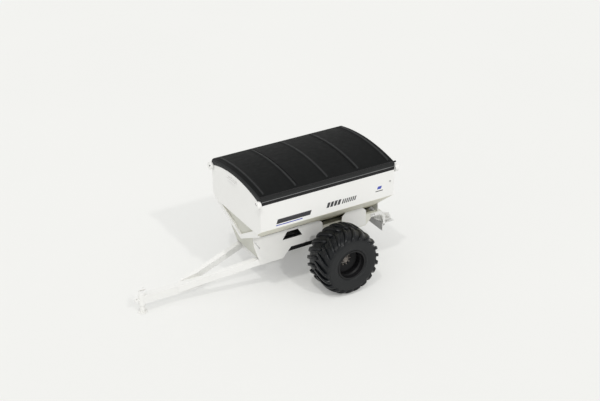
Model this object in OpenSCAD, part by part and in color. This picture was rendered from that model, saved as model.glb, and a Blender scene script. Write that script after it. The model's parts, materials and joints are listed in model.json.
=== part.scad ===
// Pull-type grain cart: V-bottom hopper over a belt floor, feed gate and spinner discs at the rear,
// arched roll cover, A-frame drawbar with a screw jack, and two flotation wheels on one axle.
// Millimetres. X points forward to the hitch, Y to the left side, Z up, and the ground is Z = 0.
// Places along X are measured from the axle, and placed() moves them to the frame's origin.

/* [Tyres] */
// Outer diameter of a tyre over its lugs
tyre_od = 1870; // [1550:1:2250]
// Section width of a tyre
tyre_w = 1050; // [980:1:1180]
// Distance between the centre planes of the two tyres
track = 3360; // [3300:1:3700]
// Height of the lugs above the carcass at the crown
lug_h = 52; // [30:1:64]
// Width of a lug at the shoulder
lug_w = 112; // [70:1:125]
// Lugs on each half of the tread
lug_count = 22; // [16:1:24]
// How far a lug leans round the tyre from its inner to its outer end
lug_sweep = 240; // [120:1:280]
// Thickness of the carcass
carcass_t = 42; // [34:1:50]

/* [Wheels] */
// Diameter of the rim's bead seat
rim_d = 813; // [700:1:900]
// Width of the rim between its flanges
rim_w = 914; // [840:1:930]
// Height of a rim flange above the bead seat
rim_flange_h = 30; // [22:1:40]
// Thickness of the rolled rim
rim_t = 12; // [8:1:16]
// Distance of the wheel disc's outer face from the tyre's centre plane
disc_out = 60; // [40:1:120]
// Thickness of the wheel disc
disc_t = 20; // [14:1:26]
// Pitch circle of the wheel nuts
nut_pcd = 335; // [325:1:350]
// Wheel nuts on each wheel
nut_count = 10; // [6:1:10]
// Width across the corners of a wheel nut
nut_d = 46; // [36:1:48]
// Radius of the hub's spigot in the wheel disc
spigot_r = 135; // [128:0.5:138]
// Length of the hub
hub_l = 286; // [240:1:320]
// Radius of the inner bearing journal of the stub axle
journal_in_r = 60; // [52:0.5:66]
// Radius of the outer bearing journal of the stub axle
journal_out_r = 48; // [40:0.5:49]
// Radial depth of a hub bearing
bearing_depth = 34; // [24:1:38]
// Length of a hub bearing
bearing_l = 44; // [36:1:50]

/* [Axle] */
// Side of the square axle beam
axle_box = 180; // [150:1:220]
// Wall of the axle beam
axle_t = 14; // [8:1:20]
// Height of the saddles between the axle beam and the sills
saddle_h = 10; // [6:1:60]
// Distance of the axle beam's end inside the tyre's centre plane
axle_inset = 640; // [600:1:700]

/* [Hopper] */
// Length of the hopper
hopper_l = 4225; // [3500:1:5100]
// Width of the hopper
hopper_w = 2760; // [2300:1:3320]
// Distance of the hopper's front face ahead of the axle
hopper_front = 2393; // [2360:1:2500]
// Rise of the slope sheets from the belt to the knee
knee_rise = 874; // [840:1:1000]
// Height of the side panels above the knee
panel_h = 778; // [640:1:960]
// Drop of the end panels' bottom edge below the knee
end_drop = 149; // [100:1:200]
// Clear strip between the belt's edge and a slope sheet's foot
belt_margin = 20; // [12:1:40]
// Run of the front slope sheet
front_run = 664; // [600:1:700]
// Thickness of the hopper's sheet
sheet_t = 6; // [4:0.5:10]
// Rise of the end panels' shoulder above the side panels
arch_shoulder = 89; // [70:1:110]
// Rise of the end panels' crown above their shoulder
arch_rise = 232; // [160:1:250]
// Radius of the round ears at the top corners
ear_r = 105; // [70:1:110]
// Thickness of the round ears
ear_t = 100; // [40:1:120]

/* [Cover] */
// Height of the cover's crown above the side panels
cover_rise = 435; // [410:1:520]
// Height of the cover's shoulder above the side panels
cover_shoulder = 270; // [250:1:290]
// Thickness of the cover as a solid
cover_t = 25; // [20:1:30]
// Number of bows under the cover
bow_count = 5; // [3:1:8]
// Distance of the first and the last bow from the hopper's ends
bow_margin = 148; // [100:1:300]
// Width of a bow's tube
bow_w = 50; // [30:1:70]
// Depth of a bow's tube
bow_h = 40; // [25:1:60]
// Height of the ridge that each bow raises in the cover
ridge_h = 9; // [4:1:14]
// Radius of the cover's roll tube
roll_r = 24; // [18:1:25]

/* [Frame] */
// Distance of a sill's inner face from the middle
sill_in = 520; // [500:1:560]
// Width of a sill
sill_w = 100; // [80:1:130]
// Depth of a sill
sill_h = 350; // [330:1:380]
// Wall of a sill
sill_t = 10; // [6:1:14]
// Thickness of the side plates
plate_t = 12; // [8:1:16]
// Drop of the front cross beam's bottom below the sills
cross_drop = 255; // [240:1:280]
// Depth of the front cross beam
cross_h = 212; // [180:1:230]
// Distance of the front cross beam's front face behind the hopper's front face
cross_back = 399; // [380:1:420]
// Tubes that join the two sills
cross_count = 5; // [3:1:7]

/* [Drawbar] */
// Distance of the hitch pin ahead of the axle
hitch_x = 5475; // [5200:1:6600]
// Width of a drawbar beam
beam_w = 150; // [120:1:170]
// Depth of a drawbar beam
beam_h = 190; // [150:1:200]
// Wall of the drawbar beams and the tongue
beam_t = 12; // [8:1:16]
// Distance of a drawbar beam's rear end from the middle
beam_y = 540; // [480:1:542]
// Distance where the beams' outer sides meet the tongue, ahead of the axle
apex_x = 4290; // [4100:1:4600]
// Width of the tongue
tongue_w = 200; // [160:1:220]
// Depth of the tongue
tongue_h = 240; // [200:1:270]
// Height of the tongue's middle
tongue_z = 420; // [400:1:460]
// Radius of the hitch pin's hole
hitch_r = 26; // [16:0.5:32]
// Thickness of the hitch tang
tang_t = 50; // [40:1:60]

/* [Jack] */
// Outer radius of the jack's sleeve
sleeve_r = 95; // [79:1:115]
// Wall of the jack's sleeve
sleeve_t = 20; // [12:1:24]
// Travel of the jack's leg
jack_travel = 200; // [120:1:205]
// Radius of the jack's round foot
foot_r = 135; // [120:1:170]
// Radius of the jack's screw
screw_r = 20; // [15:0.5:25]
// Length of the jack's crank arm
crank_l = 160; // [120:1:200]

/* [Belt] */
// Width of the belt
belt_w = 560; // [480:1:565]
// Thickness of the belt
belt_t = 10; // [6:1:14]
// Radius of the two rollers
roller_r = 100; // [80:1:122]
// Radius of the roller shafts
shaft_r = 30; // [20:0.5:36]
// Distance of the front roller ahead of the front slope sheet's foot
idler_lead = 68; // [40:1:100]
// Distance of the rear roller behind the hopper's rear end
drive_gap = 20; // [10:1:40]

/* [Gate] */
// Height of the outlet in the rear panel
outlet_h = 300; // [200:1:330]
// Travel of the feed gate
gate_travel = 280; // [180:1:300]
// Thickness of the gate plate
gate_t = 8; // [6:1:12]
// Radius of the gate's screw
gate_screw_r = 14; // [10:0.5:18]
// Radius of the gate's handwheel to the middle of its rim
handwheel_r = 120; // [80:1:125]

/* [Spinners] */
// Radius of a spinner disc
disc_r = 265; // [200:1:270]
// Distance of a spinner disc's centre from the middle
disc_y = 330; // [280:1:335]
// Distance of the spinner discs' centres behind the rear roller
disc_gap = 320; // [310:1:380]
// Fins on a disc
fin_count = 6; // [3:1:8]
// Height of a fin
fin_h = 55; // [30:1:70]
// Drop of the spinner deck below the sills
deck_drop = 110; // [80:1:130]
// Height of the discs above the deck
disc_lift = 70; // [60:1:80]
// Depth of the deck's front flange
deck_flange = 235; // [120:1:260]

/* [Hidden] */
$fn = 64;

white = "#eceeee";
cream = "#cfccb4";
black = "#1d1e20";
rubber = "#232427";
steel = "#a8abae";
grey = "#8d9092";
hub_brown = "#7d756c";

// Clearances: a shaft that turns, a piece that slides, and a piece that sits close to its seat
run_gap = 0.05;
slide_gap = 0.5;
seat_gap = 0.3;
// How far a cut runs past the solid that it cuts, and a length past every solid
cut = 10;
far = 9000;
// Facets of a full circle for the shallow arches
arch_fn = 1440;

// Heights, from the axle up
axle_z = tyre_od / 2;
wheel_y = track / 2;
sill_bottom = axle_z + axle_box / 2 + saddle_h;
sill_top = sill_bottom + sill_h;
sill_out = sill_in + sill_w;
belt_top = sill_top;
foot_rise = 15;
foot_z = belt_top + foot_rise;
knee_z = foot_z + knee_rise;
side_top = knee_z + panel_h;
end_knee_z = knee_z - end_drop;
half_w = hopper_w / 2;
hopper_rear = hopper_front - hopper_l;
rear_face = hopper_rear - sheet_t;
foot_y = belt_w / 2 + belt_margin;
front_foot_x = hopper_front - front_run;

// Belt and rollers
idler_x = front_foot_x + idler_lead;
drive_x = hopper_rear - drive_gap;
roller_z = belt_top - belt_t - seat_gap - roller_r;
belt_out = roller_r + seat_gap + belt_t;
return_z = roller_z - belt_out;

// Slope sheets: rise over run, and thickness measured upright
side_slope = knee_rise / (half_w - sheet_t - foot_y);
side_angle = atan(side_slope);
side_drop = sheet_t / cos(side_angle);
front_slope = (end_knee_z - foot_z) / front_run;
front_angle = atan(front_slope);
front_drop = sheet_t / cos(front_angle);
function side_z(y) = foot_z + (y - foot_y) * side_slope;
function side_y(z) = foot_y + (z - foot_z) / side_slope;
function front_z(x) = foot_z + (x - front_foot_x) * front_slope;

// Arches of the end panels and the cover, as circles about an axis along X
function arch_radius(half, rise) = (half * half + rise * rise) / (2 * rise);
panel_crown = side_top + arch_shoulder + arch_rise;
panel_arch_r = arch_radius(half_w, arch_rise);
panel_arch_z = panel_crown - panel_arch_r;
cover_crown = side_top + cover_rise;
cover_r = arch_radius(half_w, cover_rise - cover_shoulder);
cover_axis_z = cover_crown - cover_r;
cover_bottom = side_top + arch_shoulder + seat_gap;

// Front cross beam and the front edge of the side plates, which leans forward as it rises
cross_front = hopper_front - cross_back;
cross_bottom = sill_bottom - cross_drop;
cross_top = cross_bottom + cross_h;
plate_lead = 10;
plate_lean = 0.324;
function plate_front(z) = cross_front + plate_lead + (z - cross_bottom) * plate_lean;
plate_top = side_z(sill_out) - side_drop - seat_gap;
sill_front = cross_front;

// Hitch and jack
tang_reach = 50;
tang_end_r = 60;
jack_x = hitch_x - sleeve_r - tang_reach;
nose_x = hitch_x + tang_end_r;

// Spinners
disc_x = drive_x - disc_gap;
tail_x = disc_x - disc_r;
disc_z = sill_bottom - deck_drop + disc_lift;
deck_z = sill_bottom - deck_drop;

mid_x = (nose_x + tail_x) / 2;

// Shapes that repeat
module placed() translate([-mid_x, 0, 0]) children();
module both_sides() {
  children();
  mirror([0, 1, 0]) children();
}
module box(x, y, z) translate([x[0], y[0], z[0]]) cube([x[1] - x[0], y[1] - y[0], z[1] - z[0]]);
module plate_xz(points, y, t) translate([0, y + t, 0]) rotate([90, 0, 0]) linear_extrude(t) polygon(points);
module plate_yz(points, x, t) translate([x, 0, 0]) rotate([90, 0, 90]) linear_extrude(t) polygon(points);
module rod_y(x, z, r, y) translate([x, y[0], z]) rotate([-90, 0, 0]) cylinder(r = r, h = y[1] - y[0]);
module rod_x(y, z, r, x) translate([x[0], y, z]) rotate([0, 90, 0]) cylinder(r = r, h = x[1] - x[0]);
module rod_z(x, y, r, z) translate([x, y, z[0]]) cylinder(r = r, h = z[1] - z[0]);
module tube_x(x, y, z, t) difference() {
  box(x, y, z);
  box([x[0] - cut, x[1] + cut], [y[0] + t, y[1] - t], [z[0] + t, z[1] - t]);
}
module tube_y(x, y, z, t) difference() {
  box(x, y, z);
  box([x[0] + t, x[1] - t], [y[0] - cut, y[1] + cut], [z[0] + t, z[1] - t]);
}
module arch(r, axis_z, x) rod_x(0, axis_z, r, x, $fn = arch_fn);
// A band bent over the arch: its inner radius, its depth and width, and half its opening angle
module arch_band(x, inner, depth, width, half_angle)
  translate([x, 0, cover_axis_z]) rotate([0, -90, 0]) rotate([0, 0, -half_angle])
    rotate_extrude(angle = 2 * half_angle, $fn = arch_fn)
      translate([inner, -width / 2]) square([depth, width]);
function around(middle, half) = [middle - half, middle + half];
function arc_points(x, z, r, a0, a1, n) =
  [for (i = [0:n]) let (a = a0 + (a1 - a0) * i / n) [x + r * cos(a), z + r * sin(a)]];
function reversed(list) = [for (i = [len(list) - 1:-1:0]) list[i]];
function without_first(list) = [for (i = [1:len(list) - 1]) list[i]];

// Frame: the sills' tails are cut away below the rear roller's bearings
bearing_half = 65;
bearing_w = 45;
tail_reach = 100;
sill_rear = drive_x - tail_reach;
tail_bottom = roller_z - 20;
tail_start = hopper_rear + 400;
tail_slant = 200;
shaft_hole = shaft_r + 6;
module drive_shaft_hole() rod_y(drive_x, roller_z, shaft_hole, [-sill_out - plate_t - cut, -sill_in + cut]);
module sill() difference() {
  tube_x([sill_rear, sill_front], [sill_in, sill_out], [sill_bottom, sill_top], sill_t);
  plate_xz([[tail_start, sill_bottom - cut], [tail_start, sill_bottom],
    [tail_start - tail_slant, tail_bottom], [sill_rear - cut, tail_bottom],
    [sill_rear - cut, sill_bottom - cut]], sill_in - cut, sill_w + 2 * cut);
}
module left_sill() color(black) sill();
module right_sill() color(black) difference() {
  mirror([0, 1, 0]) sill();
  drive_shaft_hole();
}
cross_member_w = 110;
cross_member_gap = 30;
cross_first = sill_front - 470;
cross_last = tail_start + 150;
module cross_members() color(black) for (i = [0:cross_count - 1])
  tube_y(around(cross_first + (cross_last - cross_first) * i / (cross_count - 1), cross_member_w / 2),
    [-sill_in, sill_in], [sill_bottom, return_z - cross_member_gap], sill_t);

// Side plates: a front plate with a window and a slot, and a rear plate behind the wheel
front_plate_foot = 1305;
front_plate_heel = 1038;
plate_lift = 45;
plate_bottom = sill_bottom + plate_lift;
front_plate_rear = 12;
front_plate_round = 190;
fold_rise = 435;
fold_z = sill_bottom + fold_rise;
window_bottom = [680, 1318];
window_top = [818, 1168];
window_drop = 30;
window_h = 200;
slot_l = 300;
slot_w = 28;
slot_lean = 31;
slot_back = 100;
slot_rise = 400;
rear_plate_x = [-1430, -620];
rear_plate_cut = 120;
module front_side_plate() difference() {
  plate_xz(concat(
    [[plate_front(cross_bottom), cross_bottom], [front_plate_foot, cross_bottom],
     [front_plate_heel, plate_bottom], [front_plate_rear, plate_bottom]],
    reversed(arc_points(front_plate_rear + front_plate_round, plate_top - front_plate_round,
      front_plate_round, 90, 180, 8)),
    [[front_x_under(plate_top), plate_top], [front_x_under(gusset_z), gusset_z],
     [fold_x(fold_z) - bulkhead_t, fold_z], [plate_front(fold_z), fold_z]]),
    sill_out, plate_t);
  plate_xz([[window_bottom[0], sill_top - window_drop], [window_bottom[1], sill_top - window_drop],
    [window_top[1], sill_top + window_h], [window_top[0], sill_top + window_h]],
    sill_out - cut, plate_t + 2 * cut);
  translate([plate_front(sill_bottom + slot_rise) - slot_back, sill_out, sill_bottom + slot_rise])
    rotate([0, slot_lean, 0])
      box(around(0, slot_w / 2), [-cut, plate_t + cut], around(0, slot_l / 2));
}
module rear_side_plate()
  plate_xz([[rear_plate_x[0], plate_bottom], [rear_plate_x[0], plate_top - rear_plate_cut],
    [rear_plate_x[0] + rear_plate_cut, plate_top], [rear_plate_x[1] - rear_plate_cut, plate_top],
    [rear_plate_x[1], plate_top - rear_plate_cut], [rear_plate_x[1], plate_bottom]], sill_out, plate_t);
module side_plates() {
  front_side_plate();
  rear_side_plate();
}
module left_side_plates() color(white) side_plates();
module right_side_plates() color(white) mirror([0, 1, 0]) side_plates();

// Front bulkhead: a folded sheet up to the front slope sheet, with the V struts on its face
bulkhead_t = 10;
fold_angle = 8;
strut_t = 60;
strut_reach = 220;
strut_y = half_w - strut_reach;
strut_low = -87;
strut_rise = 0.54;
strut_depth = [146, 235];
wing_low = 15;
function fold_x(z) = plate_front(fold_z) + (z - fold_z) * tan(fold_angle);
// The underside of the front slope sheet, and the height where it meets the bulkhead's rear face
front_clear = front_drop + seat_gap;
function front_x_under(z) = front_foot_x + (z + front_clear - foot_z) / front_slope;
gusset_z = (front_x_under(0) - fold_x(0) + bulkhead_t) / (tan(fold_angle) - 1 / front_slope);
function strut_z(y) = fold_z + strut_low + y * strut_rise;
module under_front_sheet() plate_xz(
  [[front_foot_x, foot_z - front_clear],
   [hopper_front + cross_back, front_z(hopper_front + cross_back) - front_clear],
   [hopper_front + cross_back, side_top], [front_foot_x, side_top]], -half_w, hopper_w);
module front_bulkhead() color(white) difference() {
  intersection() {
    plate_xz([[plate_front(cross_top) - bulkhead_t, cross_top], [plate_front(cross_top), cross_top],
      [plate_front(fold_z), fold_z], [fold_x(end_knee_z), end_knee_z],
      [fold_x(end_knee_z) - bulkhead_t, end_knee_z], [plate_front(fold_z) - bulkhead_t, fold_z]],
      -half_w, hopper_w);
    plate_yz([[-sill_out, cross_top], [sill_out, cross_top], [sill_out, strut_z(sill_out) + wing_low],
      [strut_y, strut_z(strut_y) + wing_low], [strut_y, end_knee_z], [-strut_y, end_knee_z],
      [-strut_y, strut_z(strut_y) + wing_low], [-sill_out, strut_z(sill_out) + wing_low]], 0, far);
  }
  under_front_sheet();
}
module front_struts() color(white) difference() {
  intersection() {
    plate_xz([[fold_x(cross_top), cross_top], [fold_x(side_top), side_top],
      [fold_x(side_top) + strut_t, side_top], [fold_x(cross_top) + strut_t, cross_top]], -half_w, hopper_w);
    plate_yz([[0, strut_z(0)], [strut_y, strut_z(strut_y)], [strut_y, strut_z(strut_y) + strut_depth[1]],
      [0, strut_z(0) + strut_depth[0]], [-strut_y, strut_z(strut_y) + strut_depth[1]],
      [-strut_y, strut_z(strut_y)]], 0, far);
  }
  under_front_sheet();
}
cross_w = 170;
module front_crossbeam() color(white)
  tube_y([cross_front - cross_w, cross_front], [-sill_out, sill_out], [cross_bottom, cross_top], beam_t);

// Axle
axle_half = wheel_y - axle_inset;
saddle_half = 150;
saddle_edge = 8;
module axle_beam() color(black) {
  tube_y(around(0, axle_box / 2), [-axle_half, axle_half], around(axle_z, axle_box / 2), axle_t);
  both_sides() box(around(0, saddle_half), [sill_in + saddle_edge, sill_out - saddle_edge],
    [sill_bottom - saddle_h - axle_t / 2, sill_bottom]);
}
module wheel_axis() translate([0, wheel_y, axle_z]) rotate([-90, 0, 0]) children();

// Hub, measured outwards from the tyre's centre plane
hub_lip = 16;
hub_out = disc_out + hub_lip;
hub_in = hub_out - hub_l;
bearing_in_w = hub_in + 12;
bearing_out_w = hub_out - bearing_l - 4;
spindle_flange_r = 120;
spindle_flange_t = 25;
spindle_taper = 30;
spindle_shoulder = 12;
spindle_end = 16;
module spindle() wheel_axis() rotate_extrude() polygon([
  [0, -axle_inset], [spindle_flange_r, -axle_inset], [spindle_flange_r, spindle_flange_t - axle_inset],
  [journal_in_r + 2 * spindle_shoulder, spindle_flange_t + spindle_taper - axle_inset],
  [journal_in_r + spindle_shoulder, bearing_in_w - spindle_taper],
  [journal_in_r + spindle_shoulder, bearing_in_w - seat_gap], [journal_in_r, bearing_in_w - seat_gap],
  [journal_in_r, bearing_in_w + bearing_l], [journal_out_r, bearing_in_w + bearing_l + spindle_taper],
  [journal_out_r, bearing_out_w + bearing_l + spindle_end], [0, bearing_out_w + bearing_l + spindle_end]]);
module left_spindle() color(steel) spindle();
module right_spindle() color(steel) mirror([0, 1, 0]) spindle();

// Drawbar
beam_set = 15;
beam_rear_z = cross_bottom + cross_h / 2 - beam_set;
beam_apex_y = tongue_w / 2 - beam_w / 2;
beam_slope = (beam_y - beam_apex_y) / (apex_x - cross_front);
beam_yaw = -atan(beam_slope);
beam_run = (apex_x - cross_front) / cos(beam_yaw);
beam_pitch = atan((beam_rear_z - tongue_z) / beam_run);
module drawbar_beam() intersection() {
  translate([cross_front, beam_y, beam_rear_z]) rotate([0, beam_pitch, beam_yaw])
    tube_x([-beam_y, 2 * beam_run], around(0, beam_w / 2), around(0, beam_h / 2), beam_t);
  box([cross_front, far], [tongue_w / 2, far], [-far, far]);
}
module drawbar_left_beam() color(white) drawbar_beam();
module drawbar_right_beam() color(white) mirror([0, 1, 0]) drawbar_beam();
tongue_tail = 60;
tongue_rear = cross_front + (beam_y - beam_w / 2 - tongue_w / 2) / beam_slope - tongue_tail;
module sleeve_cut() rod_z(jack_x, 0, sleeve_r + seat_gap, [0, far]);
module tongue() color(white) difference() {
  tube_x([tongue_rear, jack_x], around(0, tongue_w / 2), around(tongue_z, tongue_h / 2), beam_t);
  sleeve_cut();
}
tang_half = 50;
module tang_outline() {
  translate([jack_x, -tang_half]) square([hitch_x - jack_x, 2 * tang_half]);
  translate([hitch_x, 0]) circle(r = tang_end_r);
}
module hitch_tang() color(white) difference() {
  translate([0, 0, tongue_z - tang_t / 2]) linear_extrude(tang_t) tang_outline();
  sleeve_cut();
  rod_z(hitch_x, 0, hitch_r, [0, far]);
}

// Jack: a leg that slides in a sleeve, a screw, and a crank through the sleeve's closed head
head_rise = 180;
head_h = 50;
sleeve_drop = 180;
head_top = tongue_z + head_rise;
head_bottom = head_top - head_h;
sleeve_bottom = tongue_z - sleeve_drop;
leg_r = sleeve_r - sleeve_t - slide_gap;
leg_rest = 3;
leg_top = head_bottom - jack_travel - leg_rest;
leg_t = 14;
leg_cap = 30;
foot_t = 20;
screw_in = 60;
crank_z = head_bottom + head_h / 2;
crank_r = 14;
crank_bite = 60;
crank_end = 1;
module jack_sleeve() color(white) difference() {
  rod_z(jack_x, 0, sleeve_r, [sleeve_bottom, head_top]);
  rod_z(jack_x, 0, sleeve_r - sleeve_t, [sleeve_bottom - cut, head_bottom]);
  rod_y(jack_x, crank_z, crank_r + run_gap, [-far, crank_bite - sleeve_r]);
}
module jack_leg() color(white) difference() {
  union() {
    rod_z(jack_x, 0, leg_r, [foot_t / 2, leg_top]);
    rod_z(jack_x, 0, foot_r, [0, foot_t]);
  }
  rod_z(jack_x, 0, leg_r - leg_t, [2 * foot_t, leg_top - leg_cap]);
  rod_z(jack_x, 0, screw_r + slide_gap, [leg_top - leg_cap - cut, leg_top + cut]);
}
module jack_screw() color(steel) rod_z(jack_x, 0, screw_r, [leg_top - screw_in, head_bottom - seat_gap]);
crank_reach = 55;
crank_arm_y = -sleeve_r - crank_reach;
crank_arm_t = 16;
crank_arm_half = 20;
grip_r = 17;
grip_l = 122;
module jack_crank() color(steel) {
  rod_y(jack_x, crank_z, crank_r, [crank_arm_y - crank_arm_t / 2, crank_bite - crank_end - sleeve_r]);
  box([jack_x - crank_l - crank_arm_half, jack_x + crank_arm_half], [crank_arm_y - crank_arm_t, crank_arm_y],
    around(crank_z, crank_arm_half));
  rod_y(jack_x - crank_l, crank_z, grip_r,
    [crank_arm_y - crank_arm_t / 2 - grip_l, crank_arm_y - crank_arm_t / 2]);
}

// Hopper
module side_panel() box([hopper_rear, hopper_front], [half_w - sheet_t, half_w], [knee_z, side_top]);
module left_side_panel() color(white) side_panel();
module right_side_panel() color(white) mirror([0, 1, 0]) side_panel();
module end_panel(half_outline, x) intersection() {
  plate_yz(concat(half_outline, [for (p = reversed(half_outline)) [-p[0], p[1]]]), x, sheet_t);
  arch(panel_arch_r, panel_arch_z, [x - cut, x + sheet_t + cut]);
}
front_lip = 8;
module front_panel() color(white) end_panel([[half_w, panel_crown + cut], [half_w, knee_z],
  [side_y(end_knee_z), end_knee_z - front_lip]], hopper_front);
outlet_edge = 10;
module rear_panel() color(white) difference() {
  end_panel([[half_w, panel_crown + cut], [half_w, knee_z], [sill_out, side_z(sill_out)],
    [sill_out, sill_top + seat_gap]], rear_face);
  box([rear_face - cut, hopper_rear + cut], around(0, foot_y - outlet_edge),
    [sill_top - cut, foot_z + outlet_h]);
}
module slope_sheet() difference() {
  plate_yz([[half_w - sheet_t, knee_z], [foot_y, foot_z],
    [foot_y + sheet_t * sin(side_angle), foot_z - sheet_t * cos(side_angle)],
    [half_w - sheet_t + sheet_t / sin(side_angle), knee_z]], hopper_rear, hopper_l);
  plate_xz([[0, front_z(0) + seat_gap], [far, front_z(far) + seat_gap], [far, 0], [0, 0]], 0, half_w + cut);
}
module left_slope_sheet() color(cream) slope_sheet();
module right_slope_sheet() color(cream) mirror([0, 1, 0]) slope_sheet();
module front_slope_sheet() color(cream) intersection() {
  plate_xz([[front_foot_x, foot_z], [hopper_front, end_knee_z],
    [hopper_front, end_knee_z - front_drop], [front_foot_x + sheet_t / sin(front_angle), foot_z]],
    -half_w, hopper_w);
  plate_yz([[-hopper_w, side_z(hopper_w) - side_drop], [-foot_y, foot_z - side_drop],
    [foot_y, foot_z - side_drop], [hopper_w, side_z(hopper_w) - side_drop]],
    front_foot_x - cut, front_run + 2 * cut);
}
ear_in = 20;
ear_lift = 45;
ear_y = half_w - ear_in;
ear_z = side_top + ear_lift;
ear_slot = [30, 90];
ear_slot_turn = -35;
module corner_ear(x, slot_x) difference() {
  rod_x(ear_y, ear_z, ear_r, [x, x + ear_t]);
  translate([0, ear_y, ear_z]) rotate([ear_slot_turn, 0, 0])
    box(around(slot_x, ear_t / 4), [-ear_slot[1], 0], around(0, ear_slot[0] / 2));
}
module corner_ears() color(white) both_sides() {
  corner_ear(hopper_front + sheet_t, hopper_front + sheet_t + ear_t);
  corner_ear(rear_face - ear_t, rear_face - ear_t);
}
handle_y = [-373, 86];
handle_out = 55;
handle_rise = 128;
handle_r = 13;
handle_leg_r = 10;
handle_inset = 25;
handle_z = side_top + handle_rise;
handle_x = hopper_front + sheet_t + handle_out;
module grab_handle() color(grey) {
  rod_y(handle_x, handle_z, handle_r, handle_y);
  for (y = [handle_y[0] + handle_inset, handle_y[1] - handle_inset])
    rod_x(y, handle_z, handle_leg_r, [hopper_front + sheet_t, handle_x]);
}

// Cover
rail_w = 60;
rail_below = 80;
module cover_rails() color(black) both_sides() box([hopper_rear, hopper_front],
  [half_w - sheet_t - rail_w, half_w - sheet_t], [side_top - rail_below, side_top + arch_shoulder]);
bow_r = cover_r - cover_t - seat_gap;
bow_leg = [half_w - cover_t - bow_w - seat_gap, half_w - cover_t - seat_gap];
bow_angle = asin((bow_leg[0] + bow_leg[1]) / 2 / bow_r);
function bow_x(i) = hopper_front - bow_margin - i * (hopper_l - 2 * bow_margin) / (bow_count - 1);
module bow(x) {
  arch_band(x, bow_r - bow_h, bow_h, bow_w, bow_angle);
  intersection() {
    both_sides() box(around(x, bow_w / 2), bow_leg, [side_top + arch_shoulder, cover_crown]);
    arch(bow_r, cover_axis_z, around(x, bow_w));
  }
}
module cover_bows() color(steel) for (i = [0:bow_count - 1]) bow(bow_x(i));
cover_lap = 30;
cover_end_t = 12;
cover_slack = 2;
cover_x = [rear_face - cover_end_t - cover_slack, hopper_front + sheet_t + cover_end_t + cover_slack];
ridge_w = 44;
ridge_root = 4;
ridge_end = 130;
ridge_angle = asin((half_w - ridge_end) / cover_r);
module cover_shell() difference() {
  intersection() {
    box(cover_x, [-half_w, half_w], [cover_bottom, cover_crown + cut]);
    arch(cover_r, cover_axis_z, [cover_x[0] - cut, cover_x[1] + cut]);
  }
  intersection() {
    box([cover_x[0] + cover_end_t, cover_x[1] - cover_end_t], around(0, half_w - cover_t),
      [cover_bottom - cut, cover_crown]);
    arch(cover_r - cover_t, cover_axis_z, [cover_x[0] - cut, cover_x[1] + cut]);
  }
  arch(panel_arch_r - cover_lap, panel_arch_z, [cover_x[0] - cut, cover_x[1] + cut]);
  for (x = [rear_face, hopper_front])
    arch(panel_arch_r + seat_gap, panel_arch_z, [x - cover_slack, x + sheet_t + cover_slack]);
  both_sides() {
    rod_x(ear_y, ear_z, ear_r + cover_slack, [hopper_front, far]);
    rod_x(ear_y, ear_z, ear_r + cover_slack, [-far, hopper_rear]);
  }
}
module cover() color(black) {
  cover_shell();
  for (i = [0:bow_count - 1])
    arch_band(bow_x(i), cover_r - ridge_root, ridge_root + ridge_h, ridge_w, ridge_angle);
}
roll_t = 4;
roll_lift = 1;
roll_y = half_w + roll_r + seat_gap;
roll_z = cover_axis_z + sqrt(pow(cover_r + roll_lift, 2) - roll_y * roll_y);
module cover_roll_tube() color(black) difference() {
  rod_x(roll_y, roll_z, roll_r, cover_x);
  rod_x(roll_y, roll_z, roll_r - roll_t, [cover_x[0] - cut, cover_x[1] + cut]);
}

// Belt floor
bed_t = 10;
bed_end = 50;
module belt_bed() color(steel)
  box([drive_x + roller_r + bed_end, idler_x - roller_r - bed_end], [-sill_in, sill_in],
    [belt_top - belt_t - seat_gap - bed_t, belt_top - belt_t - seat_gap]);
module belt_turn(x, turn) translate([x, belt_w / 2, roller_z]) rotate([90, turn, 0])
  rotate_extrude(angle = 180) translate([roller_r + seat_gap, 0]) square([belt_t, belt_w]);
module conveyor_belt() color(rubber) {
  belt_turn(idler_x, 90);
  belt_turn(drive_x, -90);
  for (z = [roller_z + roller_r + seat_gap, return_z])
    box([drive_x, idler_x], around(0, belt_w / 2), [z, z + belt_t]);
}
module roller_bearings() color(steel) both_sides() for (x = [idler_x, drive_x]) difference() {
  box(around(x, bearing_half), [sill_in - bearing_w, sill_in], around(roller_z, bearing_half));
  rod_y(x, roller_z, shaft_r + run_gap, [sill_in - bearing_w - cut, sill_in + cut]);
}
module roller(x) rod_y(x, roller_z, roller_r, around(0, belt_w / 2));
shaft_end = 1;
gearbox_y = -sill_out - plate_t;
gearbox_l = 140;
gearbox_half = 110;
drive_reach = 90;
motor_r = [62, 80];
motor_l = [150, 20];
module drive_roller() color(steel) {
  roller(drive_x);
  rod_y(drive_x, roller_z, shaft_r, [gearbox_y - drive_reach, sill_in - shaft_end]);
}
module idler_roller() color(steel) {
  roller(idler_x);
  rod_y(idler_x, roller_z, shaft_r, around(0, sill_in - shaft_end));
}
module belt_gearbox() color(grey) difference() {
  union() {
    box(around(drive_x, gearbox_half), [gearbox_y - gearbox_l, gearbox_y], around(roller_z, gearbox_half));
    for (i = [0:1])
      rod_y(drive_x, roller_z, motor_r[i], [gearbox_y - gearbox_l - motor_l[i], gearbox_y - gearbox_l + cut]);
  }
  rod_y(drive_x, roller_z, shaft_r + run_gap, [gearbox_y - drive_reach - cut, gearbox_y + cut]);
}

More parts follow.
